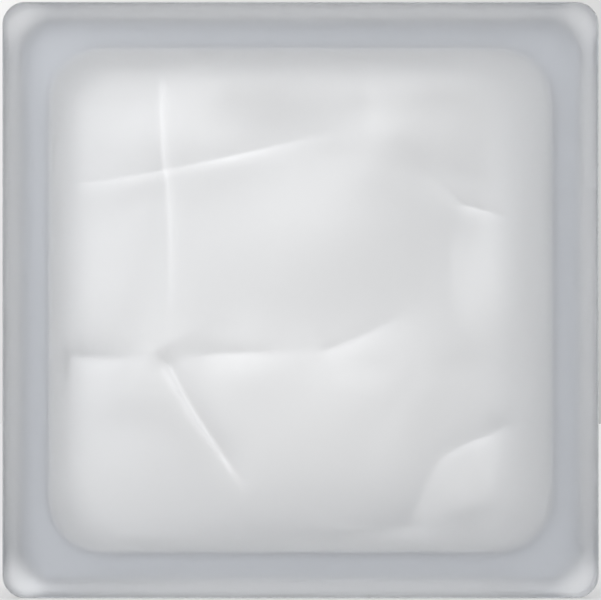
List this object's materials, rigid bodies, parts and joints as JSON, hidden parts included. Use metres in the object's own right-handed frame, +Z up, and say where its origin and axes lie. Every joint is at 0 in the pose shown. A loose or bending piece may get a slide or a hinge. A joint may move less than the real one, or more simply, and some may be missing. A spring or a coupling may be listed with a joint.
{
  "type": "glass block",
  "caption": "Square hollow pressed glass wall block, satin outside, with a cloudy relief inside its panes and drawn-in edges as a key for mortar.",
  "frame": {"origin": "on the floor under the middle of the block, which stands on its lower edge", "axes": "+Z up, +X to the right along the front pane, and the front pane faces -Y"},
  "size_m": [0.19, 0.08, 0.19],
  "materials": {
    "satin_glass": "satin"
  },
  "bodies": {
    "root": {"front_half": "satin_glass", "rear_half": "satin_glass"}
  },
  "joints": []
}
